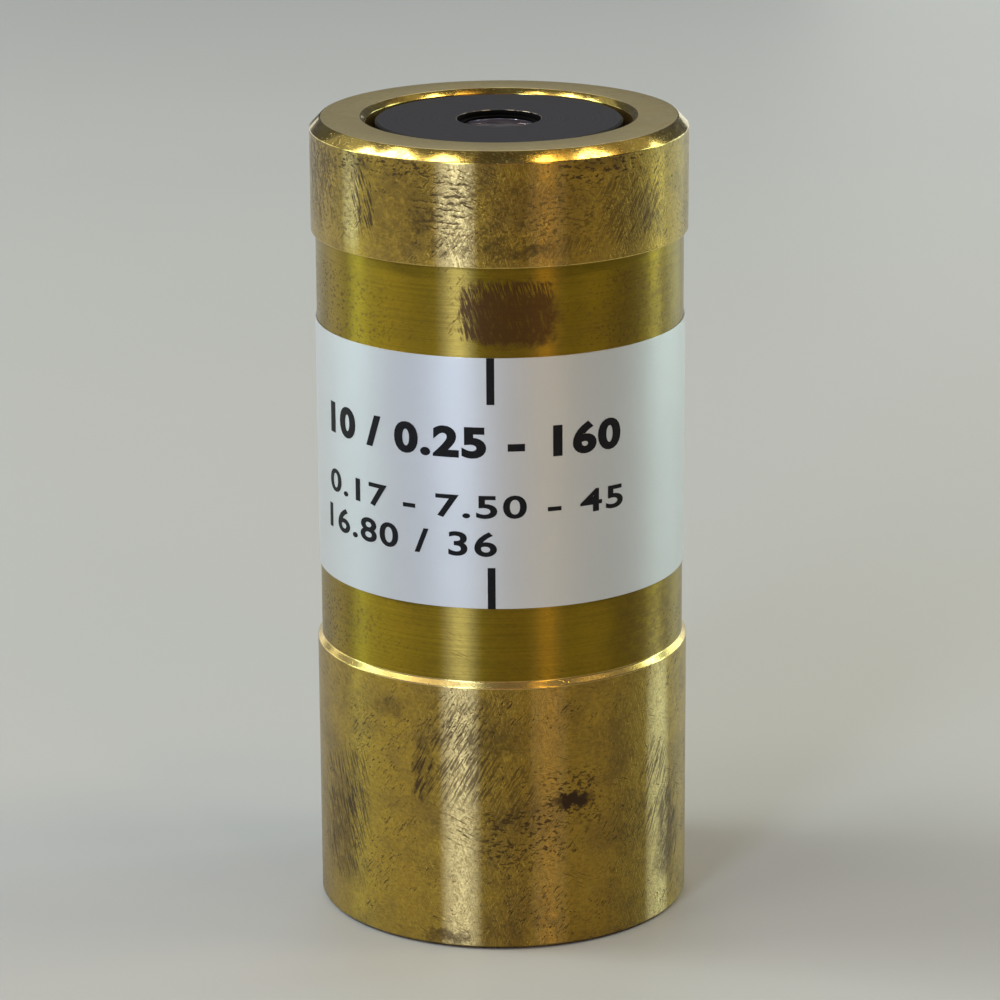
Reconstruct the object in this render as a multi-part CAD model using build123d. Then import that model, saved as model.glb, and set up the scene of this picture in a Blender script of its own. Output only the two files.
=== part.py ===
from build123d import *
import os
from math import copysign, degrees, sqrt

# A microscope objective that stands on its rear face. Lengths are in millimetres, angles in degrees.
# The origin is the centre of the rear face. +Z runs along the optical axis and out of the front lens,
# and the index line of the label lies on the -Y side.

# Brass body: one turned piece, from bar, with a shallow relief for the label between grip and collar
body_diameter = 25.4
body_length = 54.8
relief_depth = 0.3
grip_length = 18.6
grip_bevel_height = 0.35
collar_length = 7.6
collar_bevel = 0.7
collar_root_fillet = 0.2
rear_edge_bevel = 0.25
front_bore_bevel = 0.35

# Bore of the body, from the rear: the open recess, the thread of the lock ring, the seat, the front bore
recess_depth = 10.3
recess_wall = 2.0
recess_mouth_bevel = 0.3
thread_step = 0.5
seat_width = 1.3

# Foil label in the relief. Its two ends meet at the back, a small gap apart.
label_thickness = 0.1
label_above_grip = 5.15
label_below_collar = 6.0
label_end_gap = 0.6
label_seam_angle = 180.0

# Lens barrel: the black inner tube that carries the optics and goes into the body from the rear
front_face_recess = 0.25
front_gap = 0.6
barrel_wall = 1.3
pilot_land_depth = 1.9
pilot_land_length = 2.6
barrel_flange_length = 3.6
barrel_rear_bevel = 0.3
stack_thread_step = 0.3

# Lock ring, behind the flange of the lens barrel
lock_ring_length = 2.6
lock_ring_wall = 2.15
lock_slot_width = 1.6
lock_slot_depth = 1.1

# Stack ring, which clamps the cells in the lens barrel
stack_ring_length = 1.8
stack_ring_wall = 1.65
stack_slot_width = 1.2
stack_slot_depth = 0.8

# Radial running fits, and the film left between a lens and its seat
slip_clearance = 0.02
thread_clearance = 0.04
lens_film = 0.01

# Front cell: the dark plate that closes the lens barrel, and its spigot, which holds the front lens
plate_thickness = 1.6
plate_edge_bevel = 0.12
front_hole_diameter = 5.7
front_hole_bevel = 0.1
front_hole_bevel_height = 0.2
front_hole_depth = 0.34
front_lip_thickness = 0.15
front_lip_width = 0.85
front_lens_diameter = 6.4
front_ring_length = 0.9
front_cell_tail = 1.0

# The other cells, from the front. A wall is measured outside the pocket of the glass.
cell_lip_thickness = 0.8
cell_lip_width = 0.6
cell_lip_flare = 0.5
cell_tail = 0.9
cell_ring_length = 1.0
glass_ring_wall = 0.55
ring_slot_width = 0.8
ring_slot_depth = 0.5
first_cell_wall = 2.2
middle_cell_wall = 1.95
rear_cell_wall = 1.55
eye_cell_wall = 1.75

# Spacers and stop between the cells. The spacers share the length that the cells leave free.
spacer_wall = 1.3
spacer_shares = (0.29, 0.47, 0.24)
stop_thickness = 0.3
stop_diameter = 6.8

# Glass: the least thickness of each element, and radii of curvature, which are positive where the
# centre of curvature lies behind the surface. A radius of zero means a flat face.
front_lens_least = 1.55
front_lens_radii = (0.0, -6.5)
first_crown_least = 1.0
first_flint_least = 1.2
first_doublet_radii = (16.0, -9.5, 30.0)
middle_lens_least = 1.45
middle_lens_radii = (22.0, -22.0)
rear_crown_least = 1.55
rear_flint_least = 1.3
rear_doublet_radii = (20.0, -14.0, 45.0)
eye_lens_least = 1.6
eye_lens_radii = (-20.0, 0.0)

cut_overrun = 1.0

# Radii, from the outside in
body_radius = body_diameter / 2
relief_radius = body_radius - relief_depth
recess_radius = body_radius - recess_wall
thread_radius = recess_radius - thread_step
front_bore_radius = thread_radius - seat_width
barrel_radius = front_bore_radius - front_gap
barrel_bore_radius = barrel_radius - barrel_wall
stack_radius = barrel_bore_radius - slip_clearance
stack_thread_radius = barrel_bore_radius + stack_thread_step

# Heights, from the rear up
barrel_rear = recess_depth + lock_ring_length
flange_seat = barrel_rear + barrel_flange_length
stack_rear = barrel_rear + stack_ring_length
relief_bottom = grip_length + grip_bevel_height
relief_top = body_length - collar_length
front_face = body_length - front_face_recess
plate_back = front_face - plate_thickness


def turned(*outline):
    """A solid turned about the optical axis from an outline of (radius, height) points."""
    return revolve(Plane.XZ * make_face(Polyline(*outline, close=True)), Axis.Z)


def slotted_ring(front, length, outer_radius, wall, slot_width, slot_depth):
    """A ring with two spanner slots across its rear face."""
    rear = front - length
    bore_radius = outer_radius - wall
    ring = turned((bore_radius, front), (outer_radius, front), (outer_radius, rear), (bore_radius, rear))
    cut_depth = slot_depth + cut_overrun
    slot = Box(2 * outer_radius + cut_overrun, slot_width, cut_depth)
    return ring - Pos(0, 0, rear + slot_depth - cut_depth / 2) * slot


def sag(curvature_radius, radius):
    """How far a spherical face lies behind its own vertex at that distance from the axis."""
    if not curvature_radius:
        return 0.0
    size = abs(curvature_radius)
    return copysign(size - sqrt(size**2 - radius**2), curvature_radius)


class Glass:
    """Elements of one diameter in a row, cemented where there are two, and the ring behind them.

    Depths run to the rear from the seat, which is the rear of the lip that the first face rests on.
    """

    def __init__(self, edge_radius, lip_width, least_thicknesses, radii, ring_length):
        self.edge_radius = edge_radius
        self.clear_radius = edge_radius - lip_width
        self.radii = radii
        self.ring_length = ring_length
        # A face that bulges to the front meets the lip at the rim of the clear hole, any other at its edge.
        touch = self.clear_radius if radii[0] > 0 else edge_radius
        self.edge_depths = [lens_film + sag(radii[0], edge_radius) - sag(radii[0], touch)]
        for least, front, rear in zip(least_thicknesses, radii, radii[1:]):
            edge_thickness = least + max(0.0, sag(rear, edge_radius) - sag(front, edge_radius))
            self.edge_depths.append(self.edge_depths[-1] + edge_thickness)
        # The ring meets a face that bulges to the rear at the ring's bore, any other at the edge.
        last = radii[-1]
        touch = edge_radius - glass_ring_wall if last < 0 else edge_radius
        self.ring_depth = self.edge_depths[-1] + sag(last, touch) - sag(last, edge_radius) + lens_film
        self.rear_depth = self.ring_depth + ring_length

    def face_curve(self, seat, index):
        """The half section of one face, from the axis to the edge."""
        radius = self.radii[index]
        edge_height = seat - self.edge_depths[index]
        vertex = edge_height + sag(radius, self.edge_radius)
        start, end = (0, vertex), (self.edge_radius, edge_height)
        if not radius:
            return Line(start, end)
        half = self.edge_radius / 2
        return ThreePointArc(start, (half, vertex - sag(radius, half)), end)

    def element(self, seat, index):
        """One element, between two neighbouring faces, with a ground cylindrical edge."""
        front = self.face_curve(seat, index)
        rear = self.face_curve(seat, index + 1)
        outline = [front, Line(front @ 1, rear @ 1), rear, Line(rear @ 0, front @ 0)]
        return revolve(Plane.XZ * make_face(outline), Axis.Z)

    def ring(self, seat):
        """The retaining ring behind the last face."""
        return slotted_ring(
            seat - self.ring_depth,
            self.ring_length,
            self.edge_radius,
            glass_ring_wall,
            ring_slot_width,
            ring_slot_depth,
        )


def cell_glass(cell_wall, least_thicknesses, radii):
    """The glass of a cell of the stack, which fills the cell up to its wall."""
    edge_radius = stack_radius - cell_wall - slip_clearance
    return Glass(edge_radius, cell_lip_width, least_thicknesses, radii, cell_ring_length)


front_glass = Glass(
    front_lens_diameter / 2, front_lip_width, (front_lens_least,), front_lens_radii, front_ring_length
)
first_glass = cell_glass(first_cell_wall, (first_crown_least, first_flint_least), first_doublet_radii)
middle_glass = cell_glass(middle_cell_wall, (middle_lens_least,), middle_lens_radii)
rear_glass = cell_glass(rear_cell_wall, (rear_crown_least, rear_flint_least), rear_doublet_radii)
eye_glass = cell_glass(eye_cell_wall, (eye_lens_least,), eye_lens_radii)


def cell_length(glass):
    """The length of a cell: its lip, the glass with its ring, and the open end behind the ring."""
    return cell_lip_thickness + glass.rear_depth + cell_tail


# Heights of the stack, from the front down. Each name is the height of that piece's front.
front_seat = front_face - front_hole_depth - front_lip_thickness
first_cell_front = front_seat - front_glass.rear_depth - front_cell_tail
cells_length = sum(cell_length(glass) for glass in (first_glass, middle_glass, rear_glass, eye_glass))
free_length = first_cell_front - stack_rear - cells_length - stop_thickness
first_spacer_length, second_spacer_length, rear_spacer_length = (
    share * free_length / sum(spacer_shares) for share in spacer_shares
)
first_spacer_front = first_cell_front - cell_length(first_glass)
middle_cell_front = first_spacer_front - first_spacer_length
stop_front = middle_cell_front - cell_length(middle_glass)
second_spacer_front = stop_front - stop_thickness
rear_cell_front = second_spacer_front - second_spacer_length
rear_spacer_front = rear_cell_front - cell_length(rear_glass)
eye_cell_front = rear_spacer_front - rear_spacer_length


def outer_body():
    """The brass body: rear grip, relief and collar, with the stepped bore."""
    body = turned(
        (recess_radius + recess_mouth_bevel, 0),
        (body_radius - rear_edge_bevel, 0),
        (body_radius, rear_edge_bevel),
        (body_radius, grip_length),
        (relief_radius, relief_bottom),
        (relief_radius, relief_top),
        (body_radius, relief_top),
        (body_radius, body_length - collar_bevel),
        (body_radius - collar_bevel, body_length),
        (front_bore_radius + front_bore_bevel, body_length),
        (front_bore_radius, body_length - front_bore_bevel),
        (front_bore_radius, flange_seat),
        (thread_radius, flange_seat),
        (thread_radius, recess_depth),
        (recess_radius, recess_depth),
        (recess_radius, recess_mouth_bevel),
    )
    collar_root = body.edges().filter_by_position(Axis.Z, relief_top, relief_top).sort_by(SortBy.RADIUS)[0]
    return fillet(collar_root, min(collar_root_fillet, relief_depth * 2 / 3))


def label():
    """The foil label, wrapped round the relief."""
    bottom = relief_bottom + label_above_grip
    top = relief_top - label_below_collar
    outer_radius = relief_radius + label_thickness
    section = Polyline(
        (relief_radius, bottom),
        (outer_radius, bottom),
        (outer_radius, top),
        (relief_radius, top),
        close=True,
    )
    gap_angle = degrees(label_end_gap / outer_radius)
    wrap = revolve(Plane.XZ * make_face(section), Axis.Z, revolution_arc=360 - gap_angle)
    # The wrap starts at +X. The seam angle is measured from the index line, at -Y.
    return Rot(0, 0, label_seam_angle - 90 + gap_angle / 2) * wrap


def lens_barrel():
    """The black inner tube, with a pilot land near its front and a threaded flange at its rear."""
    land_radius = front_bore_radius - slip_clearance
    land_top = front_face - pilot_land_depth
    land_bottom = land_top - pilot_land_length
    flange_radius = thread_radius - thread_clearance
    return turned(
        (barrel_bore_radius, plate_back),
        (barrel_radius, plate_back),
        (barrel_radius, land_top),
        (land_radius, land_top),
        (land_radius, land_bottom),
        (barrel_radius, land_bottom),
        (barrel_radius, flange_seat),
        (flange_radius, flange_seat),
        (flange_radius, barrel_rear + barrel_rear_bevel),
        (flange_radius - barrel_rear_bevel, barrel_rear),
        (stack_thread_radius, barrel_rear),
        (stack_thread_radius, stack_rear),
        (barrel_bore_radius, stack_rear),
    )


def lock_ring():
    """The ring that locks the flange of the lens barrel in the body."""
    outer_radius = thread_radius - thread_clearance
    return slotted_ring(
        barrel_rear, lock_ring_length, outer_radius, lock_ring_wall, lock_slot_width, lock_slot_depth
    )


def stack_ring():
    """The ring that clamps the cells in the lens barrel."""
    outer_radius = stack_thread_radius - thread_clearance
    return slotted_ring(
        stack_rear, stack_ring_length, outer_radius, stack_ring_wall, stack_slot_width, stack_slot_depth
    )


def front_cell():
    """The dark front plate with its stepped hole, and the spigot behind it with the lens pocket."""
    hole_radius = front_hole_diameter / 2
    throat_radius = hole_radius - front_hole_bevel
    pocket_radius = front_glass.edge_radius + slip_clearance
    return turned(
        (hole_radius, front_face),
        (barrel_radius - plate_edge_bevel, front_face),
        (barrel_radius, front_face - plate_edge_bevel),
        (barrel_radius, plate_back),
        (stack_radius, plate_back),
        (stack_radius, first_cell_front),
        (pocket_radius, first_cell_front),
        (pocket_radius, front_seat),
        (front_glass.clear_radius, front_seat),
        (front_glass.clear_radius, front_face - front_hole_depth),
        (throat_radius, front_face - front_hole_depth),
        (throat_radius, front_face - front_hole_bevel_height),
    )


def lens_cell(glass, front):
    """A turned cup: a flared lip in front, and a straight pocket that its glass goes into from the rear."""
    rear = front - cell_length(glass)
    seat = front - cell_lip_thickness
    pocket_radius = glass.edge_radius + slip_clearance
    return turned(
        (glass.clear_radius + cell_lip_flare, front),
        (stack_radius, front),
        (stack_radius, rear),
        (pocket_radius, rear),
        (pocket_radius, seat),
        (glass.clear_radius, seat),
    )


def tube(front, length, wall):
    """A plain tube, or a disc with a hole, that fills the bore of the lens barrel."""
    rear = front - length
    bore = stack_radius - wall
    return turned((bore, front), (stack_radius, front), (stack_radius, rear), (bore, rear))


def single_group(name, glass, front):
    """One lens in its cell, with its ring."""
    seat = front - cell_lip_thickness
    return {
        f"{name}_cell": lens_cell(glass, front),
        name: glass.element(seat, 0),
        f"{name}_ring": glass.ring(seat),
    }


def doublet_group(name, glass, front):
    """A cemented pair in its cell, with its ring. The crown glass is the one in front."""
    seat = front - cell_lip_thickness
    return {
        f"{name}_cell": lens_cell(glass, front),
        f"{name}_crown": glass.element(seat, 0),
        f"{name}_flint": glass.element(seat, 1),
        f"{name}_ring": glass.ring(seat),
    }


objective = {
    "outer_body": outer_body(),
    "label": label(),
    "lens_barrel": lens_barrel(),
    "lock_ring": lock_ring(),
    "front_cell": front_cell(),
    "front_lens": front_glass.element(front_seat, 0),
    "front_lens_ring": front_glass.ring(front_seat),
    **doublet_group("first_doublet", first_glass, first_cell_front),
    "first_spacer": tube(first_spacer_front, first_spacer_length, spacer_wall),
    **single_group("middle_lens", middle_glass, middle_cell_front),
    "aperture_stop": tube(stop_front, stop_thickness, stack_radius - stop_diameter / 2),
    "second_spacer": tube(second_spacer_front, second_spacer_length, spacer_wall),
    **doublet_group("rear_doublet", rear_glass, rear_cell_front),
    "rear_spacer": tube(rear_spacer_front, rear_spacer_length, spacer_wall),
    **single_group("eye_lens", eye_glass, eye_cell_front),
    "stack_ring": stack_ring(),
}

os.makedirs("parts", exist_ok=True)
for name, piece in objective.items():
    export_step(piece, f"parts/{name}.step")
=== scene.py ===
from math import cos, pi, radians, sin, tan

import bmesh
import bpy
import numpy as np
from mathutils import Matrix, Vector


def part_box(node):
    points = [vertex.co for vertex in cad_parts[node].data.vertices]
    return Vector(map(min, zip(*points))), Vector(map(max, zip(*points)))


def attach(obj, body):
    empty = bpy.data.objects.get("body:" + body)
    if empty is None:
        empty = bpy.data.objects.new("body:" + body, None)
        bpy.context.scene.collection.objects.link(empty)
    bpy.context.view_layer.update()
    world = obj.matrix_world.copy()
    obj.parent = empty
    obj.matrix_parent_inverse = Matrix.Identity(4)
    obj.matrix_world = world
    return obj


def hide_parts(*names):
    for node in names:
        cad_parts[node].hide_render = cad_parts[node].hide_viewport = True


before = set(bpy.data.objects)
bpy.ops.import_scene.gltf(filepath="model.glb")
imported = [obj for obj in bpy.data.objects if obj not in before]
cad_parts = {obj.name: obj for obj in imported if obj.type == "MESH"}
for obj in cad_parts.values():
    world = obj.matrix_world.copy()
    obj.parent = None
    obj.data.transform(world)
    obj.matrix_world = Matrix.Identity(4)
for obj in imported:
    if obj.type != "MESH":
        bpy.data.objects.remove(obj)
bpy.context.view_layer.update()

# A microscope objective: a brass tube that stands on its rear end, with a foil label in a shallow relief and
# a dark lens barrel inside. Azimuths run from the index line, at -Y, towards +X. Lengths are in millimetres,
# and MM turns them to the metres of the scene. Only those of the lamps and the floor are in metres.
MM = 0.001

# Heights and radii of the brass body
BODY_RADIUS = 12.7
BODY_LENGTH = 54.8
RELIEF_RADIUS = 12.4
GRIP_TOP = 18.6
RELIEF_BOTTOM = 18.95
COLLAR_FOOT = 47.2
COLLAR_ROOT_ROUNDING = 0.2
COLLAR_BEVEL = 0.7
REAR_BEVEL = 0.25
FRONT_BORE_RADIUS = 8.9
FRONT_BORE_BEVEL = 0.35
FLANGE_SEAT = 16.5
THREAD_RADIUS = 10.2
RECESS_DEPTH = 10.3
RECESS_RADIUS = 10.7
RECESS_BEVEL = 0.3
EDGE_ROUNDING = 0.06

# Label, and what is printed on it
LABEL_RADIUS = 12.5
LABEL_BOTTOM = 24.1
LABEL_TOP = 41.2
LABEL_GAP = 0.6
INK_THICKNESS = 0.02
INDEX_WIDTH = 0.52
INDEX_LENGTH_UPPER = 3.14
INDEX_LENGTH_LOWER = 2.84
LETTER_SPACING = 1.12
# Name, what it says, azimuths of its ends, heights of its foot and top, and how far the strokes are thickened
PRINTED_ROWS = [
    ("ratio_row", "10 / 0.25 - 160", -61.9, 42.1, 34.4, 36.6, 0.045),
    ("tube_row", "0.17 - 7.50 - 45", -62.9, 43.1, 30.3, 31.9, 0.02),
    ("focus_row", "16.80 / 36", -63.9, 1.7, 27.7, 29.4, 0.02),
]

# Front plate and front lens
FRONT_FACE = 54.55
PLATE_RADIUS = 8.3
PLATE_THICKNESS = 1.6
PLATE_BEVEL = 0.12
HOLE_RADIUS = 2.85
HOLE_BEVEL = 0.1
HOLE_BEVEL_HEIGHT = 0.2
HOLE_DEPTH = 0.34
LIP_THICKNESS = 0.15
CLEAR_RADIUS = 2.35
SPIGOT_RADIUS = 6.98
POCKET_RADIUS = 3.22
FRONT_LENS_RADIUS = 3.2
FRONT_LENS_CURVE = 6.5
FRONT_LENS_BEVEL = 0.04

# Camera and room. Azimuths of lamps are measured from the camera, which stands a little to the right.
CAMERA_AZIMUTH = 3.1
CAMERA_ELEVATION = 16.38
CAMERA_ROLL = -0.36
CAMERA_DISTANCE = 297.95
AIM_HEIGHT = 27.94
AIM_SIDE = -0.09
LENS = 156.5

# Upright strip lamps, the windows and pale walls of the room, and their distance from the axis in metres:
# name, azimuth, width in degrees, the heights of the lower and upper ends in metres, colour, radiance
STRIP_DISTANCE = 0.45
STRIPS = [
    ("rear_left", -150, 30, 0.0, 0.08, "#F4F8F0", 1.2),
    ("wall_left", -122, 22, 0.0, 0.16, "#F4F8F0", 1.5),
    ("window_left", -98, 12, 0.0, 0.6, "#E0FFFC", 3.9),
    ("wall_near_left", -80, 20, 0.0, 0.6, "#E8F4FF", 0.7),
    ("wall_front_left", -52, 34, 0.0, 0.6, "#8C96E0", 0.5),
    ("window_front", -26, 11, 0.0, 0.6, "#DCEAFF", 6.9),
    ("wall_front", 2, 26, 0.0, 0.6, "#FFA878", 0.18),
    ("lamp_warm", 28, 7, 0.0, 0.6, "#FFC860", 2.9),
    ("wall_warm", 64, 44, 0.0, 0.6, "#FFB070", 0.04),
    ("window_right", 111, 10, 0.0, 0.35, "#E4FFF6", 5.5),
    ("wall_rear_right", 134, 24, 0.0, 0.16, "#E8FFF8", 2.4),
    ("rear_right", 160, 26, 0.0, 0.08, "#F4F8F0", 1.1),
]

# Square lamps above the object, the lights of the ceiling, and their distance from the origin in metres:
# name, azimuth, elevation, size in metres, colour, radiance
SOFTBOX_DISTANCE = 0.6
SOFTBOXES = [
    ("high_left", -62, 50, 0.34, "#FFF2D0", 0.8),
    ("high_rear", 180, 45, 0.3, "#F4F4FF", 1.5),
    ("upper_left", -124, 36, 0.26, "#FFFCE8", 0.32),
    ("upper_right", 112, 42, 0.34, "#FFE8B0", 0.28),
    ("ceiling_far_left", -108, 44, 0.1, "#FFF8E8", 12.0),
    ("ceiling_left", -92, 54, 0.14, "#FFF4E0", 15.0),
    ("ceiling_front_left", -59, 67, 0.1, "#FFF0D0", 10.0),
    ("ceiling_front_right", 54, 68, 0.09, "#FFDC98", 10.0),
    ("ceiling_right", 86, 57, 0.13, "#FFE8B8", 14.0),
    ("ceiling_far_right", 123, 34, 0.07, "#F4FFF0", 8.0),
]


def colour(hex_value):
    """A linear colour from its sRGB hex value."""
    srgb = np.array([int(hex_value[i : i + 2], 16) for i in (1, 3, 5)]) / 255
    linear = np.where(srgb <= 0.04045, srgb / 12.92, ((srgb + 0.055) / 1.055) ** 2.4)
    return (*linear.tolist(), 1.0)


# Short names of the nodes used most, with their kinds and settings. The sockets of Step are a value, the two
# ends of its range and, where they aren't nought and one, what those ends become. It has soft shoulders.
SHORT_NAMES = {
    "Times": ("Math", {"operation": "MULTIPLY"}),
    "Greater": ("Math", {"operation": "MAXIMUM"}),
    "Step": ("MapRange", {"interpolation_type": "SMOOTHSTEP"}),
}


def add(tree, kind, sockets=(), **settings):
    """Adds one node, with its sockets in order or by name.

    A socket takes a value, another node's first output, or an output.
    """
    kind, own_settings = SHORT_NAMES.get(kind, (kind, {}))
    node = tree.nodes.new("ShaderNode" + kind)
    for name, value in {**own_settings, **settings}.items():
        setattr(node, name, value)
    for key, value in sockets.items() if isinstance(sockets, dict) else enumerate(sockets):
        source = value.outputs[0] if isinstance(value, bpy.types.Node) else value
        if isinstance(source, bpy.types.NodeSocket):
            tree.links.new(source, node.inputs[key])
        else:
            node.inputs[key].default_value = source
    return node


def per(wavelength):
    """How many waves of this length, in millimetres, go into a metre: the scale of a pattern."""
    return 1 / (wavelength * MM)


def finish(name):
    """A new material: its node tree, and the object's own coordinates in it."""
    made = bpy.data.materials.new(name)
    made.use_nodes = True
    made.node_tree.nodes.clear()
    return made, made.node_tree, add(made.node_tree, "TexCoord").outputs["Object"]


def surface(tree, sockets, normal=None):
    """The shader of a material, with the sockets that differ from Blender's own."""
    shader = add(tree, "BsdfPrincipled", sockets)
    if normal is not None:
        tree.links.new(normal.outputs["Normal"], shader.inputs["Normal"])
    add(tree, "OutputMaterial", {"Surface": shader})
    return shader


# Patterns


def grain(tree, place, sizes, detail=2.0, roughness=0.5):
    """Noise with its own wavelength along X, Y and Z, in millimetres."""
    stretched = add(tree, "Mapping", {"Vector": place, "Scale": [per(size) for size in sizes]})
    sockets = {"Vector": stretched, "Scale": 1.0, "Detail": detail, "Roughness": roughness}
    return add(tree, "TexNoise", sockets)


def strokes(tree, place, slant, width, length, low, high):
    """Short rubbed strokes round the tube that lean by slant degrees from upright.

    The object is twisted about its axis, by the height times tan(slant) over the radius, and the noise is
    stretched along the axis. Nothing in it has a seam.
    """
    height = add(tree, "SeparateXYZ", [place]).outputs["Z"]
    twist = add(tree, "Times", [height, tan(radians(slant)) / (BODY_RADIUS * MM)])
    twisted = add(tree, "VectorRotate", {"Vector": place, "Angle": twist}, rotation_type="Z_AXIS")
    return add(tree, "Step", [grain(tree, twisted, (width, width, length), 2.0, 0.6), low, high])


def shifted(tree, place, amount, wavelength):
    """The place moved by noise, up to about amount millimetres, so that what is drawn there looks ragged."""
    sockets = {"Vector": place, "Scale": per(wavelength), "Detail": 3.0, "Roughness": 0.7}
    noise = add(tree, "TexNoise", sockets).outputs["Color"]
    middle = add(tree, "VectorMath", [noise, (0.5, 0.5, 0.5)], operation="SUBTRACT")
    reach = (4 * amount * MM,) * 3
    return add(tree, "VectorMath", [middle, reach, place], operation="MULTIPLY_ADD")


def patch(tree, place, azimuth, height, half_width, half_height, strength=1.0, soft=0.3):
    """The strength at a place on the outside, and nought outside a rounded oblong about it.

    The coordinates are moved to the place, turned to face outwards there and divided by the half sizes.
    Then the square root of x^4 + y^4 + z^4 tells how far out a point is.
    """
    turn = radians(azimuth)
    spot = (BODY_RADIUS * sin(turn) * MM, -BODY_RADIUS * cos(turn) * MM, height * MM)
    sockets = {
        "Vector": place,
        "Location": spot,
        "Rotation": (0, 0, turn),
        "Scale": (half_width * MM, 4 * MM, half_height * MM),
    }
    local = add(tree, "Mapping", sockets, vector_type="TEXTURE")
    squared = add(tree, "VectorMath", [local, local], operation="MULTIPLY")
    far = add(tree, "VectorMath", [squared], operation="LENGTH").outputs["Value"]
    return add(tree, "Step", [far, 1 - soft, 1 + soft, strength, 0.0])


def patches(tree, place, spots, soft=0.6):
    """The greatest of several patches, each (azimuth, height, half width, half height, strength)."""
    total = patch(tree, place, *spots[0], soft)
    for spot in spots[1:]:
        total = add(tree, "Greater", [total, patch(tree, place, *spot, soft)])
    return total


# Finishes


def brass(
    name, base, highlight_colour, dull, grime, film, roughness, anisotropy, turning, scuffing, clouds, flecks, marks=None
):
    """Old bar brass, unlacquered, turned on a lathe and since handled.

    Turned brass gives a mirror drawn out across the fine tool lines, so a window shows as one upright
    streak. base is the colour of the metal. The paler colour after it is a painted highlight: it is painted
    in a few upright bands where the streaks of the windows fall. dull is its tarnish and grime its dirt. film
    is the haze over it. turning and scuffing are depths in millimetres of the tool lines and of the knocks.
    clouds is how far the tarnish covers it, and flecks how dense its dark flecks are. marks adds the dirt of
    particular places, and the height it gives in millimetres.
    """
    made, tree, place = finish(name)
    # Real tool lines are about 0.05 mm apart and the finest flecks 0.1 mm. They are drawn coarser, to show.
    tool_lines = grain(tree, place, (9.0, 9.0, 0.11), 2.0, 0.7)
    knocks = grain(tree, place, (0.28, 0.28, 0.22), 2.0, 0.6)
    cloudy = grain(tree, place, (3.6, 3.6, 3.0), 4.0, 0.65)
    cloud = add(tree, "Step", [cloudy, 0.42, 0.66, 0.0, clouds])
    speckled = grain(tree, place, (0.34, 0.34, 0.18), 3.0, 0.7)
    speckle = add(tree, "Step", [speckled, 0.3, 0.7, 1.0 - 0.17 * flecks, 1.0 + 0.19 * flecks])
    lined = add(tree, "Step", [tool_lines, 0.3, 0.7, 1.0 - 14 * turning, 1.0 + 14 * turning])
    # Flecks lean one way where the crowd is thick and the other way where it is thin, with pits all over.
    crowd = grain(tree, place, (5.0, 5.0, 4.0), 3.0, 0.6)
    low, high = 0.65 - 0.046 * flecks, 0.68 - 0.046 * flecks
    thick = add(tree, "Step", [crowd, 0.5, 0.6])
    thin = add(tree, "Step", [crowd, 0.35, 0.5, 1.0, 0.0])
    in_crowd = add(tree, "Times", [strokes(tree, place, -40, 0.15, 0.5, low, high), thick])
    between = add(tree, "Times", [strokes(tree, place, 64, 0.15, 0.5, low, high), thin])
    flecked = add(tree, "Greater", [in_crowd, between])
    pits = add(tree, "Step", [grain(tree, place, (0.3, 0.3, 0.18), 2.0, 0.6), low + 0.045, high + 0.045])
    pitted = add(tree, "Times", [pits, add(tree, "Step", [crowd, 0.4, 0.6, 0.2, 1.0])])
    dirt = add(tree, "Greater", [flecked, pitted])
    dirt = add(tree, "Times", [dirt, min(0.85, 1.2 * flecks)])
    sunk = add(tree, "Times", [dirt, -0.006 * MM])
    height = add(tree, "Math", [knocks, scuffing * MM, sunk], operation="MULTIPLY_ADD")
    height = add(tree, "Math", [tool_lines, turning * MM, height], operation="MULTIPLY_ADD")
    if marks:
        soiled, raised = marks(tree, place)
        dirt = add(tree, "Greater", [dirt, soiled])
        height = add(tree, "Math", [raised, MM, height], operation="MULTIPLY_ADD")
    tint = add(tree, "MixRGB", {"Fac": cloud, "Color1": colour(base), "Color2": colour(dull)})
    # Painted highlights: paler upright bands along the reflections of the windows, fixed to the brass by
    # azimuth from the index line.
    highlight_bands = [
        (-10.0, 27.5, 1.25, 60.0, 0.8),
        (17.2, 27.5, 1.2, 60.0, 0.2),
        (59.2, 6.0, 1.3, 14.0, 0.85),
        (-47.0, 51.0, 0.8, 3.4, 0.5),
    ]
    painted_highlight = patches(tree, place, highlight_bands, 0.65)
    tint = add(tree, "MixRGB", {"Fac": painted_highlight, "Color1": tint, "Color2": colour(highlight_colour)})
    shade = add(tree, "Times", [speckle, lined])
    tint = add(tree, "VectorMath", {0: tint, "Scale": shade}, operation="SCALE")
    tint = add(tree, "MixRGB", {"Fac": dirt, "Color1": tint, "Color2": colour(grime)})
    dulled = add(tree, "Greater", [cloud, dirt])
    sockets = {
        "Base Color": tint,
        "Metallic": add(tree, "Step", [dirt, 0.0, 1.0, 1.0, 0.3]),
        "Roughness": add(tree, "Step", [dulled, 0.0, 1.0, roughness, roughness + 0.12]),
        "Anisotropic": anisotropy,
        "Anisotropic Rotation": 0.25,
        "Specular IOR Level": 0.3,
        "Coat Weight": add(tree, "Step", [dirt, 0.0, 0.8, film, 0.0]),
        "Coat Roughness": 0.38,
    }
    surface(tree, sockets, add(tree, "Bump", {"Height": height, "Distance": 1.0, "Strength": 1.0}))
    return made


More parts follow.
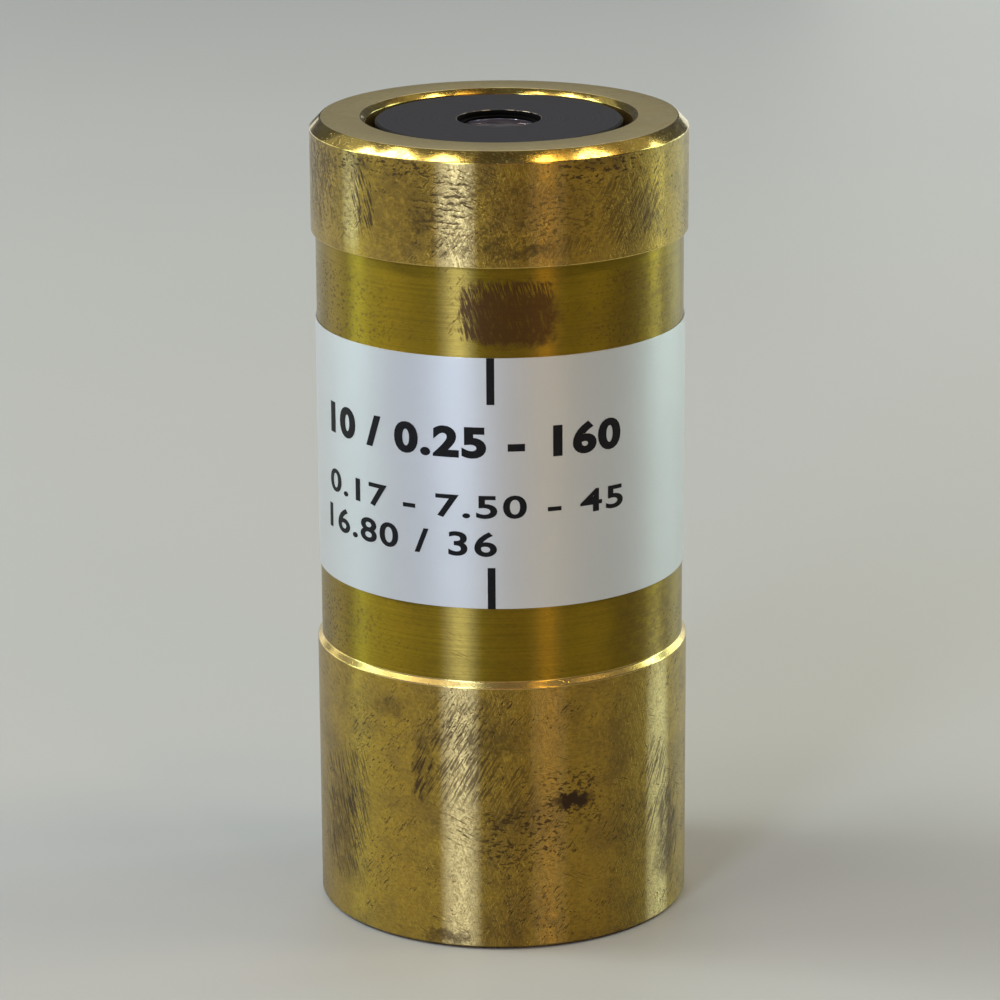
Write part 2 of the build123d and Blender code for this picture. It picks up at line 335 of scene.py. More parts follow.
def handled(tree, place):
    """What years of handling left on the grip and the collar.

    Rubbed strokes with dirt in them lean to the right in the middle of the front and to the left at its left.
    There are crowds of dashes, soft smudges, chatter of the tool on the collar and one dark spot on the grip.
    """
    # Every list below holds places as (azimuth, height, half width, half height, strength).
    ragged = shifted(tree, place, 0.5, 1.2)
    right = strokes(tree, place, -28, 0.16, 1.2, 0.49, 0.58)
    left = strokes(tree, place, 20, 0.16, 1.3, 0.47, 0.57)
    dashes = add(tree, "Step", [grain(tree, place, (0.4, 0.4, 0.2), 2.0, 0.6), 0.54, 0.59])
    right_place = patches(
        tree,
        ragged,
        [
            (-9, 14.0, 2.6, 3.6, 0.75),
            (-22, 12.6, 0.7, 2.2, 1.0),
            (6, 11.0, 1.4, 2.4, 0.6),
            (66, 6.5, 1.6, 3.6, 0.9),
            (58, 9.5, 1.6, 3.6, 0.7),
            (46, 50.6, 2.8, 2.2, 0.7),
            (150, 11.0, 3.0, 3.4, 0.6),
            (-130, 51.0, 3.0, 1.8, 0.6),
            (-2, 48.6, 4.4, 0.7, 0.5),
            (24, 48.4, 2.4, 0.6, 0.5),
        ],
    )
    left_place = patches(
        tree,
        ragged,
        [
            (-57, 7.4, 2.6, 4.4, 1.0),
            (-49, 9.6, 1.4, 3.4, 0.8),
            (-41, 51.3, 1.0, 2.8, 1.0),
            (-66, 51.5, 3.0, 2.6, 0.8),
            (-148, 8.0, 2.6, 3.6, 0.6),
        ],
    )
    dash_place = patches(
        tree,
        ragged,
        [
            (9, 8.2, 3.0, 2.2, 0.9),
            (25, 10.6, 2.4, 1.9, 0.9),
            (-36, 53.5, 4.4, 0.7, 1.0),
            (36, 53.4, 3.4, 0.9, 1.0),
            (-66, 52.6, 3.4, 1.6, 0.8),
            (14, 49.6, 3.0, 1.2, 0.6),
            (-120, 9.0, 3.4, 2.4, 0.7),
            (170, 53.0, 4.0, 1.0, 0.8),
            (-6, 48.5, 5.0, 0.5, 0.55),
            (-60, 50.4, 4.0, 2.4, 0.55),
            (-22, 50.6, 3.4, 2.6, 0.5),
            (6, 51.2, 3.4, 2.2, 0.5),
            (32, 51.0, 3.6, 2.2, 0.6),
        ],
    )
    right_marks = add(tree, "Times", [right, right_place])
    left_marks = add(tree, "Times", [left, left_place])
    dirt = add(tree, "Greater", [right_marks, left_marks])
    dirt = add(tree, "Greater", [dirt, add(tree, "Times", [dashes, dash_place])])
    dirt = add(tree, "Times", [dirt, 0.92])
    smudges = patches(
        tree,
        ragged,
        [
            (-22, 12.6, 0.6, 2.0, 0.55),
            (0, 14.8, 1.6, 0.9, 0.6),
            (-33, 16.5, 1.2, 0.8, 0.45),
            (-58, 6.6, 1.6, 3.2, 0.62),
            (64, 6.0, 1.2, 3.2, 0.72),
            (-15, 0.8, 1.6, 0.5, 0.7),
            (-21, 50.3, 0.9, 0.9, 0.8),
            (-43, 53.2, 1.4, 0.8, 0.6),
            (-28, 51.0, 2.4, 3.0, 0.5),
            (34, 53.7, 1.8, 0.4, 0.6),
            (8, 48.3, 2.2, 0.4, 0.75),
            (120, 13.0, 2.0, 1.6, 0.5),
            (-165, 4.0, 2.2, 1.6, 0.5),
        ],
    )
    smoky = add(tree, "Step", [grain(tree, place, (0.7, 0.7, 0.6), 4.0, 0.7), 0.36, 0.6, 0.3, 1.0])
    dirt = add(tree, "Greater", [dirt, add(tree, "Times", [smudges, smoky])])
    spot = patch(tree, shifted(tree, place, 0.4, 0.6), 25.0, 10.4, 1.3, 0.5, 1.0, 0.6)
    dirt = add(tree, "Greater", [dirt, spot])
    # The wave texture runs as sin(20 x), hence the 2 pi / 20.
    sockets = {
        "Vector": place,
        "Scale": per(0.42) * 2 * pi / 20,
        "Distortion": 4.0,
        "Detail": 2.0,
        "Detail Scale": 2.0,
    }
    chatter = add(tree, "TexWave", sockets, bands_direction="Z").outputs["Fac"]
    broken = add(tree, "Step", [grain(tree, place, (0.9, 0.9, 0.4), 2.0, 0.6), 0.42, 0.54])
    ripple = add(tree, "Times", [chatter, patch(tree, ragged, -14, 51.6, 2.1, 2.2, 1.0, 0.5)])
    ripple = add(tree, "Times", [ripple, broken])
    dirt = add(tree, "Greater", [dirt, add(tree, "Times", [add(tree, "Step", [ripple, 0.5, 0.9]), 0.8])])
    rubbed = add(tree, "Times", [add(tree, "Greater", [right, left]), -0.008])
    return dirt, add(tree, "Math", [ripple, -0.02, rubbed], operation="MULTIPLY_ADD")


def stained(tree, place):
    """The brown stain above the label, rubbed at its edges, and the dirt in the relief's corners."""
    ragged = shifted(tree, place, 0.45, 0.8)
    stain = patch(tree, ragged, 5.2, 44.2, 3.1, 2.1, 1.0, 0.25)
    leaning = strokes(tree, place, 16, 0.13, 1.2, 0.4, 0.5)
    thin = add(tree, "Step", [grain(tree, place, (0.4, 0.4, 0.6), 3.0, 0.7), 0.35, 0.55, 0.78, 1.0])
    soaked = add(tree, "Times", [patch(tree, ragged, 7.6, 43.7, 2.8, 1.8, 1.0, 0.4), thin])
    dirt = add(tree, "Greater", [add(tree, "Times", [stain, leaning]), soaked])
    dirt = add(tree, "Times", [dirt, 0.9])
    dust = add(tree, "Step", [grain(tree, place, (0.3, 0.3, 0.2), 2.0, 0.6), 0.56, 0.64])
    corners = patches(
        tree,
        ragged,
        [
            (-66, 43.6, 4.0, 2.6, 0.75),
            (-46, 43.4, 3.0, 2.2, 0.55),
            (50, 42.2, 5.0, 0.8, 0.7),
            (50, 44.6, 4.4, 2.0, 0.65),
            (-68, 21.0, 4.0, 2.4, 0.75),
            (-48, 21.6, 2.6, 1.6, 0.5),
            (66, 20.4, 4.0, 1.6, 0.75),
        ],
    )
    dirt = add(tree, "Greater", [dirt, add(tree, "Times", [dust, corners])])
    smoky = add(tree, "Step", [grain(tree, place, (0.9, 0.9, 0.5), 4.0, 0.7), 0.36, 0.6, 0.3, 1.0])
    smudges = patches(
        tree,
        ragged,
        [(54, 43.6, 3.6, 3.0, 0.35), (57, 21.4, 3.2, 3.0, 0.45), (30, 42.6, 3.0, 1.2, 0.2)],
    )
    dirt = add(tree, "Greater", [dirt, add(tree, "Times", [smudges, smoky])])
    return dirt, add(tree, "Times", [dirt, 0.002])


def scuffed_brass():
    """Grip and collar: knocked and rubbed all over."""
    return brass(
        "scuffed_brass",
        base="#A08432",
        # The paler colour is a painted highlight, laid in the bands where the windows' streaks fall.
        highlight_colour="#CDB880",
        dull="#655230",
        grime="#32200E",
        film=0.25,
        roughness=0.38,
        anisotropy=0.96,
        turning=0.002,
        scuffing=0.008,
        clouds=0.45,
        flecks=1.0,
        marks=handled,
    )


def relief_brass():
    """The relief: the cleanest turned surface, under and over the label."""
    return brass(
        "relief_brass",
        base="#90791C",
        # The paler colour is a painted highlight, laid in the bands where the windows' streaks fall.
        highlight_colour="#988444",
        dull="#6A5626",
        grime="#482A10",
        film=0.1,
        roughness=0.38,
        anisotropy=0.96,
        turning=0.008,
        scuffing=0.002,
        clouds=0.2,
        flecks=0.4,
        marks=stained,
    )


def edge_brass():
    """The bevels at both ends: rubbed bright by the hand, so they glint."""
    return brass(
        "edge_brass",
        base="#CDB664",
        highlight_colour="#CDB664",
        dull="#6A4A18",
        grime="#2A2010",
        film=0.05,
        roughness=0.12,
        anisotropy=0.2,
        turning=0.002,
        scuffing=0.0025,
        clouds=0.7,
        flecks=0.6,
    )


def rubbed_brass():
    """The shoulder under the relief, the edge most worn: pale and bright."""
    return brass(
        "rubbed_brass",
        base="#DCC070",
        highlight_colour="#E0C880",
        dull="#A88440",
        grime="#3A2C14",
        film=0.1,
        roughness=0.2,
        anisotropy=0.2,
        turning=0.002,
        scuffing=0.004,
        clouds=0.5,
        flecks=0.3,
    )


def faced_brass():
    """The front rim and the rear face: faced on the lathe, dulled by tarnish."""
    return brass(
        "faced_brass",
        base="#A2945A",
        highlight_colour="#A2945A",
        dull="#8C7E4A",
        grime="#54482A",
        film=0.3,
        roughness=0.4,
        anisotropy=0.0,
        turning=0.003,
        scuffing=0.003,
        clouds=0.6,
        flecks=0.3,
    )


def bore_and_foot_shade_brass():
    """Inside surfaces: turned, never touched since, brown with age. On the rear bevel it is painted shade:
    the dark line where the foot meets the floor.
    """
    return brass(
        "bore_and_foot_shade_brass",
        base="#8C7238",
        highlight_colour="#8C7238",
        dull="#4E3B20",
        grime="#2A2016",
        film=0.2,
        roughness=0.42,
        anisotropy=0.5,
        turning=0.01,
        scuffing=0.003,
        clouds=0.8,
        flecks=0.3,
    )


def foil():
    """Aluminium foil with a satin face: bright and even, its reflections spread by a fine grain."""
    made, tree, place = finish("silver_foil")
    # The real grain is about 0.02 mm. It is drawn coarser, to show.
    fine = grain(tree, place, (0.12, 0.12, 0.12), 2.0, 0.6)
    cloudy = grain(tree, place, (6.0, 6.0, 5.0), 3.0, 0.5)
    tint = add(tree, "MixRGB", {"Fac": cloudy, "Color1": colour("#DCDFE4"), "Color2": colour("#D4D8DC")})
    rough = add(tree, "Step", [fine, 0.3, 0.7, 0.37, 0.47])
    surface(
        tree,
        {"Base Color": tint, "Metallic": 0.92, "Roughness": rough},
        add(tree, "Bump", {"Height": fine, "Distance": 0.003 * MM, "Strength": 1.0}),
    )
    return made


def ink():
    """Black printing ink, faintly uneven, with a low gloss."""
    made, tree, place = finish("black_ink")
    uneven = grain(tree, place, (0.3, 0.3, 0.3), 2.0, 0.5)
    tint = add(tree, "MixRGB", {"Fac": uneven, "Color1": colour("#0C0C0E"), "Color2": colour("#1E1E22")})
    rough = add(tree, "Step", [uneven, 0.2, 0.8, 0.4, 0.55])
    surface(tree, {"Base Color": tint, "Roughness": rough, "Specular IOR Level": 0.12})
    return made


def black_metal(name, pale, dark, roughness, metallic, depth):
    """Anodised or chemically blackened metal: dark and satin, with tool lines under the colour."""
    made, tree, place = finish(name)
    # Real tool lines are about 0.05 mm apart. They are drawn coarser, to show.
    lines = grain(tree, place, (5.0, 5.0, 0.12), 2.0, 0.6)
    mottled = grain(tree, place, (1.5, 1.5, 1.5), 4.0, 0.6)
    tint = add(tree, "MixRGB", {"Fac": mottled, "Color1": colour(dark), "Color2": colour(pale)})
    surface(
        tree,
        {
            "Base Color": tint,
            "Metallic": metallic,
            "Roughness": add(tree, "Step", [lines, 0.3, 0.7, roughness - 0.06, roughness + 0.06]),
        },
        add(tree, "Bump", {"Height": lines, "Distance": depth * MM, "Strength": 1.0}),
    )
    return made


def plate_black():
    """The front plate: black anodised metal, faced on the lathe, so its faint lines run in circles."""
    made, tree, place = finish("plate_black")
    parts = add(tree, "SeparateXYZ", [place])
    flat = add(tree, "CombineXYZ", {"X": parts.outputs["X"], "Y": parts.outputs["Y"]})
    radius = add(tree, "VectorMath", [flat], operation="LENGTH").outputs["Value"]
    # These lines too are drawn coarser than the real ones, to show.
    circles = add(
        tree,
        "TexNoise",
        {"W": add(tree, "Times", [radius, per(0.12)]), "Scale": 1.0, "Detail": 2.0},
        noise_dimensions="1D",
    )
    mottled = grain(tree, place, (1.2, 1.2, 1.2), 4.0, 0.6)
    specks = add(tree, "Step", [grain(tree, place, (0.25, 0.25, 0.25), 1.0, 0.5), 0.74, 0.8])
    tint = add(tree, "MixRGB", {"Fac": mottled, "Color1": colour("#101013"), "Color2": colour("#161619")})
    faint = add(tree, "Times", [specks, 0.5])
    tint = add(tree, "MixRGB", {"Fac": faint, "Color1": tint, "Color2": colour("#6E6E70")})
    surface(
        tree,
        {
            "Base Color": tint,
            "Roughness": add(tree, "Step", [circles, 0.3, 0.7, 0.43, 0.5]),
            "Specular IOR Level": 0.2,
        },
        add(tree, "Bump", {"Height": circles, "Distance": 0.002 * MM, "Strength": 1.0}),
    )
    return made


def hole_black():
    """The wall of the hole: matt black, to keep stray light down."""
    made, tree, place = finish("hole_black")
    mottled = grain(tree, place, (0.4, 0.4, 0.4), 2.0, 0.6)
    tint = add(tree, "MixRGB", {"Fac": mottled, "Color1": colour("#030304"), "Color2": colour("#060607")})
    surface(tree, {"Base Color": tint, "Roughness": 0.8, "Specular IOR Level": 0.04})
    return made


def worn_black():
    """The rim of the hole: the black worn through to bare grey metal in places."""
    made, tree, place = finish("worn_black")
    through = add(tree, "Step", [grain(tree, place, (0.6, 0.6, 0.6), 3.0, 0.6), 0.46, 0.54])
    tint = add(tree, "MixRGB", {"Fac": through, "Color1": colour("#0C0C0E"), "Color2": colour("#9A9284")})
    surface(tree, {"Base Color": tint, "Metallic": add(tree, "Times", [through, 0.9]), "Roughness": 0.35})
    return made


def coated_glass():
    """Optical glass with a quarter wave coating, which reflects a faint violet, under a haze of dust."""
    made, tree, place = finish("coated_glass")
    # Real dust is about 0.05 mm. It is drawn coarser, to show.
    dust = add(tree, "Step", [grain(tree, place, (0.18, 0.18, 0.18), 2.0, 0.6), 0.6, 0.8, 0.01, 0.12])
    hazy = grain(tree, place, (0.9, 0.9, 0.9), 3.0, 0.6)
    surface(
        tree,
        {
            "Base Color": colour("#DCD6F0"),
            "Roughness": dust,
            "IOR": 1.52,
            "Transmission Weight": add(tree, "Step", [hazy, 0.35, 0.65, 0.95, 0.91]),
            "Thin Film Thickness": 100.0,
            "Thin Film IOR": 1.38,
        },
    )
    return made


# Shapes


def eased(corners, points=4):
    """A closed outline with each corner (radius, height, ease) rounded.

    The corner P, with neighbours A and B, becomes (1-t)^2 U + 2t(1-t) P + t^2 V. U and V lie on its two
    sides, an ease away from P, or 0.4 of the side where that is less.
    """
    corners = np.array([(*corner, EDGE_ROUNDING)[:3] for corner in corners], float)
    corner, ease = corners[:, :2], corners[:, 2:]
    before = np.roll(corner, 1, axis=0) - corner
    after = np.roll(corner, -1, axis=0) - corner
    before_length = np.linalg.norm(before, axis=1, keepdims=True)
    after_length = np.linalg.norm(after, axis=1, keepdims=True)
    reach = np.minimum(ease, 0.4 * np.minimum(before_length, after_length))
    start = corner + before / before_length * reach
    end = corner + after / after_length * reach
    t = np.linspace(0, 1, points)[None, :, None]
    curve = (1 - t) ** 2 * start[:, None] + 2 * t * (1 - t) * corner[:, None] + t**2 * end[:, None]
    return curve.reshape(-1, 2)


def mesh_piece(name, points, faces, finishes):
    """A smooth shaded piece from points in millimetres, with its place in its mesh."""
    mesh = bpy.data.meshes.new(name)
    mesh.from_pydata((np.asarray(points) * MM).tolist(), [], faces)
    mesh.polygons.foreach_set("use_smooth", np.ones(len(mesh.polygons), bool))
    for made in finishes:
        mesh.materials.append(made)
    piece = bpy.data.objects.new(name, mesh)
    bpy.context.scene.collection.objects.link(piece)
    return piece


def turned(name, outline, finishes, zones=None, span=(-pi, pi), steps=384):
    """An outline of (radius, height) carried round the axis over a span of azimuths.

    The point at azimuth a is (r sin a, -r cos a, z), on a grid of azimuth by outline point. A full turn
    joins up with itself, and a shorter span gets the outline itself as a cap at each end.
    """
    outline = np.array(outline, float)
    # An outline that runs the other way round is reversed, so that the faces look outwards.
    if np.sum(outline[:, 0] * np.roll(outline[:, 1], -1) - np.roll(outline[:, 0], -1) * outline[:, 1]) < 0:
        outline = outline[::-1]
        zones = None if zones is None else np.roll(np.array(zones)[::-1], -1)
    count = len(outline)
    whole = span[1] - span[0] > 2 * pi - 1e-6
    angle = np.linspace(span[0], span[1], steps + 1)[: steps if whole else None]
    radius, height = outline.T
    points = np.stack(
        [
            np.sin(angle)[:, None] * radius,
            -np.cos(angle)[:, None] * radius,
            np.broadcast_to(height, (len(angle), count)),
        ],
        axis=-1,
    ).reshape(-1, 3)
    across, along = np.meshgrid(np.arange(steps), np.arange(count), indexing="ij")
    next_across, next_along = (across + 1) % len(angle), (along + 1) % count
    corners = [(across, along), (next_across, along), (next_across, next_along), (across, next_along)]
    faces = np.stack([a * count + b for a, b in corners], axis=-1).reshape(-1, 4).tolist()
    if not whole:
        faces += [list(range(count)), list(range(steps * count, (steps + 1) * count))[::-1]]
    piece = mesh_piece(name, points, faces, finishes)
    if zones is not None:
        piece.data.polygons.foreach_set("material_index", np.tile(np.array(zones, np.int32), steps))
    if radius.min() == 0:
        merged = bmesh.new()
        merged.from_mesh(piece.data)
        bmesh.ops.remove_doubles(merged, verts=merged.verts, dist=1e-3 * MM)
        merged.to_mesh(piece.data)
        merged.free()
    piece.data.set_sharp_from_angle(angle=radians(40))
    piece.modifiers.new("weighted_normal", "WEIGHTED_NORMAL").keep_sharp = True
    return piece


def brass_body():
    """The brass body, with one finish for each stretch of its outline."""
    scuffed, relief, edge, rubbed, faced, bore_and_foot_shade = range(6)
    sides = [
        ((RECESS_RADIUS + RECESS_BEVEL, 0), faced),
        # The rear bevel takes the dark inside finish, as painted shade along the foot where it meets the
        # floor.
        ((BODY_RADIUS - REAR_BEVEL, 0), bore_and_foot_shade),
        ((BODY_RADIUS, REAR_BEVEL), scuffed),
        ((BODY_RADIUS, GRIP_TOP), rubbed),
        ((RELIEF_RADIUS, RELIEF_BOTTOM), relief),
        ((RELIEF_RADIUS, COLLAR_FOOT, COLLAR_ROOT_ROUNDING), relief),
        ((BODY_RADIUS, COLLAR_FOOT), scuffed),
        ((BODY_RADIUS, BODY_LENGTH - COLLAR_BEVEL), edge),
        ((BODY_RADIUS - COLLAR_BEVEL, BODY_LENGTH), faced),
        ((FRONT_BORE_RADIUS + FRONT_BORE_BEVEL, BODY_LENGTH), edge),
        ((FRONT_BORE_RADIUS, BODY_LENGTH - FRONT_BORE_BEVEL), bore_and_foot_shade),
        ((FRONT_BORE_RADIUS, FLANGE_SEAT), bore_and_foot_shade),
        ((THREAD_RADIUS, FLANGE_SEAT), bore_and_foot_shade),
        ((THREAD_RADIUS, RECESS_DEPTH), bore_and_foot_shade),
        ((RECESS_RADIUS, RECESS_DEPTH), bore_and_foot_shade),
        ((RECESS_RADIUS, RECESS_BEVEL), edge),
    ]
    outline = eased([corner for corner, zone in sides])
    # Each corner has four points: three steps round it, in the finish of the bevel beside it, then its side.
    zones = []
    for index, (corner, zone) in enumerate(sides):
        before = sides[index - 1][1]
        shared = [each for each in (rubbed, edge) if each in (zone, before)]
        zones += [shared[0] if shared else zone] * 3 + [zone]
    # The lower corner of the collar is rubbed bright.
    collar_corner = 4 * [corner[:2] for corner, zone in sides].index((BODY_RADIUS, COLLAR_FOOT))
    zones[collar_corner : collar_corner + 3] = [rubbed] * 3
    piece = turned(
        "brass_body",
        outline,
        [scuffed_brass(), relief_brass(), edge_brass(), rubbed_brass(), faced_brass(), bore_and_foot_shade_brass()],
        zones,
    )
    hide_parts("outer_body")
    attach(piece, "root")


def foil_label():
    """The label, one strip of foil round the relief, with its ends a small gap apart at the back."""
    inner = RELIEF_RADIUS
    outline = eased(
        [
            (inner, LABEL_BOTTOM),
            (LABEL_RADIUS, LABEL_BOTTOM),
            (LABEL_RADIUS, LABEL_TOP),
            (inner, LABEL_TOP),
        ],
        points=3,
    )
    half_gap = LABEL_GAP / LABEL_RADIUS / 2
    piece = turned("foil_label", outline, [foil()], span=(-pi + half_gap, pi - half_gap))
    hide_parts("label")
    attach(piece, "root")


def index_bar(name, bottom, top, black):
    """One bar of the index line, a thin closed strip on the label."""
    inner, outer = LABEL_RADIUS, LABEL_RADIUS + INK_THICKNESS
    half = INDEX_WIDTH / LABEL_RADIUS / 2
    outline = [(inner, bottom), (outer, bottom), (outer, top), (inner, top)]
    piece = turned(name, outline, [black], span=(-half, half), steps=4)
    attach(piece, "root")


def printed_row(name, words, azimuth, end_azimuth, bottom, top, weight, black):
    """A row of plain numbers, wrapped round the label.

    The flat letters are fitted to the row's length and height. A point that is a share s of the way along
    goes to azimuth + s (end_azimuth - azimuth), and its thickness goes outwards.
    """
    letters = bpy.data.curves.new(name, "FONT")
    letters.body = words
    letters.offset = weight
    letters.space_character = LETTER_SPACING
    # Any thickness serves, since it is fitted to the ink's.
    letters.extrude = 0.5
    letters.resolution_u = 5
    flat = bpy.data.objects.new(name + "_flat", letters)
    bpy.context.scene.collection.objects.link(flat)
    bpy.context.view_layer.update()
    settled = flat.evaluated_get(bpy.context.evaluated_depsgraph_get())
    mesh = bpy.data.meshes.new_from_object(settled)
    bpy.data.objects.remove(flat)
    shape = bmesh.new()
    shape.from_mesh(mesh)
    bmesh.ops.remove_doubles(shape, verts=shape.verts, dist=1e-5)
    width = max(point.co.x for point in shape.verts)
    # The flat faces are cut into upright slices, fine enough to bend round the label.
    for cut in np.arange(0.05, width, 0.09):
        everything = shape.verts[:] + shape.edges[:] + shape.faces[:]
        bmesh.ops.bisect_plane(shape, geom=everything, plane_co=(cut, 0, 0), plane_no=(1, 0, 0))
    bmesh.ops.recalc_face_normals(shape, faces=shape.faces)
    shape.to_mesh(mesh)
    shape.free()
    points = np.empty(len(mesh.vertices) * 3)
    mesh.vertices.foreach_get("co", points)
    points = points.reshape(-1, 3)
    low, high = points.min(axis=0), points.max(axis=0)
    along, up, out = ((points - low) / (high - low)).T
    angle = np.radians(azimuth + (end_azimuth - azimuth) * along)
    radius = LABEL_RADIUS + INK_THICKNESS * out
    height = bottom + (top - bottom) * up
    wrapped = np.stack([radius * np.sin(angle), -radius * np.cos(angle), height], axis=-1) * MM
    mesh.vertices.foreach_set("co", wrapped.ravel())
    mesh.update()
    mesh.materials.clear()
    mesh.materials.append(black)
    piece = bpy.data.objects.new(name, mesh)
    bpy.context.scene.collection.objects.link(piece)
    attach(piece, "root")


def front_plate():
    """The dark plate round the front lens, with its stepped hole, and the spigot behind it."""
    spigot_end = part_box("front_cell")[0].z / MM
    outline = eased(
        [
            (HOLE_RADIUS, FRONT_FACE, 0.04),
            (PLATE_RADIUS - PLATE_BEVEL, FRONT_FACE, 0.03),
            (PLATE_RADIUS, FRONT_FACE - PLATE_BEVEL, 0.03),
            (PLATE_RADIUS, FRONT_FACE - PLATE_THICKNESS),
            (SPIGOT_RADIUS, FRONT_FACE - PLATE_THICKNESS),
            (SPIGOT_RADIUS, spigot_end),
            (POCKET_RADIUS, spigot_end),
            (POCKET_RADIUS, FRONT_FACE - HOLE_DEPTH - LIP_THICKNESS, 0.01),
            (CLEAR_RADIUS, FRONT_FACE - HOLE_DEPTH - LIP_THICKNESS, 0.02),
            (CLEAR_RADIUS, FRONT_FACE - HOLE_DEPTH, 0.03),
            (HOLE_RADIUS - HOLE_BEVEL, FRONT_FACE - HOLE_DEPTH, 0.02),
            (HOLE_RADIUS - HOLE_BEVEL, FRONT_FACE - HOLE_BEVEL_HEIGHT, 0.02),
        ]
    )
    # Four points to a corner: the rim of the hole, then the plate and its spigot, then the inside.
    plate, inside, rim = range(3)
    zones = [rim] * 3 + [plate] * 21 + [inside] * 24
    piece = turned("front_plate", outline, [plate_black(), hole_black(), worn_black()], zones, steps=256)
    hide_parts("front_cell")
    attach(piece, "root")


def front_glass(glass):
    """The front lens: flat in front, and behind a part of a sphere, z = vertex + R - sqrt(R^2 - r^2)."""
    low, high = (corner.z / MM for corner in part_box("front_lens"))
    rear_radius = np.linspace(0, FRONT_LENS_RADIUS, 24)
    rear = low + FRONT_LENS_CURVE - np.sqrt(FRONT_LENS_CURVE**2 - rear_radius**2)
    outline = [*zip(rear_radius, rear)]
    outline += [(FRONT_LENS_RADIUS, high - FRONT_LENS_BEVEL), (FRONT_LENS_RADIUS - FRONT_LENS_BEVEL, high)]
    outline += [(radius, high) for radius in (2.4, 1.2, 0)]
    piece = turned("front_glass", outline, [glass], steps=128)
    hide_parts("front_lens")
    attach(piece, "root")


def dress_inner_parts(glass):
    """Gives the finishes of the record's slots to the inner parts, whose solids stay."""
    finishes = {
        "black_anodised": black_metal("black_anodised", "#242426", "#161618", 0.5, 0.1, 0.006),
        "blackened_brass": black_metal("blackened_brass", "#2E2822", "#16130F", 0.42, 0.7, 0.008),
        "coated_glass": glass,
    }
    dressed = {
        "black_anodised": ["lens_barrel", "first_spacer", "aperture_stop", "second_spacer", "rear_spacer"],
        "coated_glass": [
            "first_doublet_crown",
            "first_doublet_flint",
            "middle_lens",
            "rear_doublet_crown",
            "rear_doublet_flint",
            "eye_lens",
        ],
    }
    known = {node: slot for slot, nodes in dressed.items() for node in nodes}
    for name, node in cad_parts.items():
        if name not in ("outer_body", "label", "front_cell", "front_lens"):
            node.material_slots[0].material = finishes[known.get(name, "blackened_brass")]


# Room


def towards(azimuth, distance, height=0.0):
    """The point at an azimuth from the camera's side, at that distance from the axis."""
    turn = radians(azimuth + CAMERA_AZIMUTH)
    return Vector((distance * sin(turn), -distance * cos(turn), height))


def pale_floor():
    """A large pale sheet with a faint cloudiness and a low gloss, with painted shade that darkens it towards
    the middle.
    """
    half_side = 3.0
    mesh = bpy.data.meshes.new("pale_floor")
    corners = [(half_side * x, half_side * y, 0) for x, y in ((-1, -1), (1, -1), (1, 1), (-1, 1))]
    mesh.from_pydata(corners, [], [(0, 1, 2, 3)])
    made, tree, place = finish("pale_sheet")
    cloudy = grain(tree, place, (60.0, 60.0, 60.0), 3.0, 0.5)
    tint = add(tree, "MixRGB", {"Fac": cloudy, "Color1": colour("#BCC1C5"), "Color2": colour("#B8BDC0")})
    # Painted shade: the colour darkens to 0.86 of itself at the middle, fading out 0.3 m away.
    away = add(tree, "VectorMath", [place], operation="LENGTH").outputs["Value"]
    painted_shade_centre = add(tree, "Step", [away, 0.0, 0.3, 0.86, 1.0])
    tint = add(tree, "VectorMath", {0: tint, "Scale": painted_shade_centre}, operation="SCALE")
    surface(tree, {"Base Color": tint, "Roughness": 0.5})
    mesh.materials.append(made)
    piece = bpy.data.objects.new("pale_floor", mesh)
    bpy.context.scene.collection.objects.link(piece)


def strip(name, azimuth, width, low, high, hex_value, radiance):
    """An upright strip lamp that faces the axis. Its width is in degrees, as seen from the axis."""
    data = bpy.data.lights.new(name, "AREA")
    data.shape = "RECTANGLE"
    data.size = 2 * STRIP_DISTANCE * tan(radians(width) / 2)
    data.size_y = high - low
    data.color = colour(hex_value)[:3]
    data.energy = radiance * pi * data.size * data.size_y
    lamp = bpy.data.objects.new(name, data)
    bpy.context.scene.collection.objects.link(lamp)
    lamp.location = towards(azimuth, STRIP_DISTANCE, (low + high) / 2)
    inward = Vector((-lamp.location.x, -lamp.location.y, 0))
    lamp.rotation_euler = inward.to_track_quat("-Z", "Y").to_euler()
    lamp.visible_camera = False


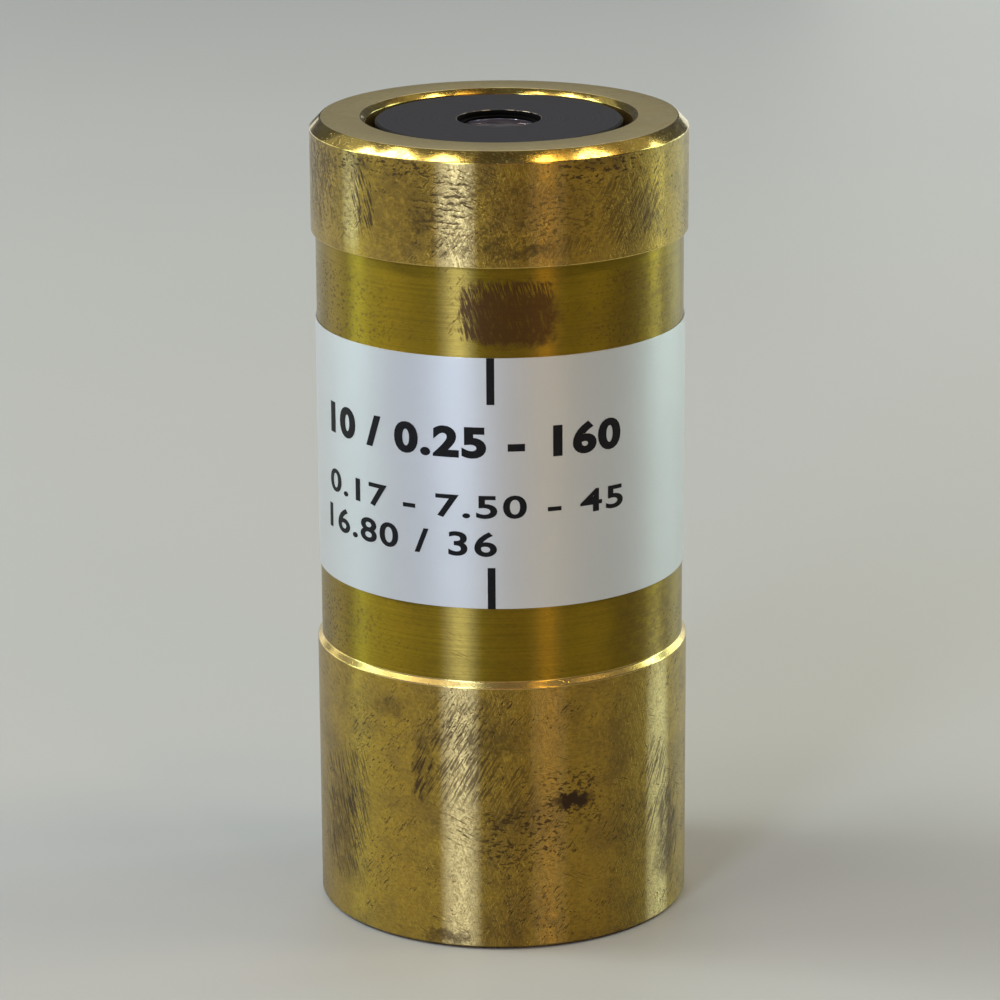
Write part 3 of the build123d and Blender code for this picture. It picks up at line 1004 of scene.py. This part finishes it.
def softbox(name, azimuth, elevation, size, hex_value, radiance):
    """A square lamp above the object, turned to it."""
    data = bpy.data.lights.new(name, "AREA")
    data.shape = "SQUARE"
    data.size = size
    data.color = colour(hex_value)[:3]
    data.energy = radiance * pi * size**2
    lamp = bpy.data.objects.new(name, data)
    bpy.context.scene.collection.objects.link(lamp)
    rise = radians(elevation)
    lamp.location = towards(azimuth, SOFTBOX_DISTANCE * cos(rise), SOFTBOX_DISTANCE * sin(rise))
    lamp.rotation_euler = (-lamp.location).to_track_quat("-Z", "Y").to_euler()
    lamp.visible_camera = False


def room():
    """Dim grey surroundings. The lamps and windows of the room are the strips."""
    made = bpy.data.worlds.new("studio")
    made.use_nodes = True
    made.node_tree.nodes.clear()
    light = add(made.node_tree, "Background", {"Color": colour("#F0F0F4"), "Strength": 0.13})
    add(made.node_tree, "OutputWorld", {"Surface": light})
    bpy.context.scene.world = made


def camera():
    """The camera of the photo, found from the outline and the edges of the object in it."""
    data = bpy.data.cameras.new("camera")
    data.lens = LENS
    data.clip_start = 0.01
    piece = bpy.data.objects.new("camera", data)
    bpy.context.scene.collection.objects.link(piece)
    tilt, roll = radians(CAMERA_ELEVATION), radians(CAMERA_ROLL)
    forward = Vector((0, cos(tilt), -sin(tilt)))
    side, up = Vector((1, 0, 0)), Vector((0, sin(tilt), cos(tilt)))
    side, up = cos(roll) * side + sin(roll) * up, cos(roll) * up - sin(roll) * side
    place = Vector((AIM_SIDE, 0, AIM_HEIGHT)) * MM - forward * CAMERA_DISTANCE * MM
    axes = Matrix((side, up, -forward)).transposed().to_4x4()
    turn = Matrix.Rotation(radians(CAMERA_AZIMUTH), 4, "Z")
    piece.matrix_world = turn @ Matrix.Translation(place) @ axes
    bpy.context.scene.camera = piece


brass_body()
foil_label()
black = ink()
index_bar("index_bar_upper", LABEL_TOP - INDEX_LENGTH_UPPER, LABEL_TOP, black)
index_bar("index_bar_lower", LABEL_BOTTOM, LABEL_BOTTOM + INDEX_LENGTH_LOWER, black)
for row in PRINTED_ROWS:
    printed_row(*row, black)
front_plate()
glass = coated_glass()
front_glass(glass)
dress_inner_parts(glass)

pale_floor()
room()
for lamp in STRIPS:
    strip(*lamp)
for lamp in SOFTBOXES:
    softbox(*lamp)
camera()
bpy.context.scene.view_settings.view_transform = "Standard"
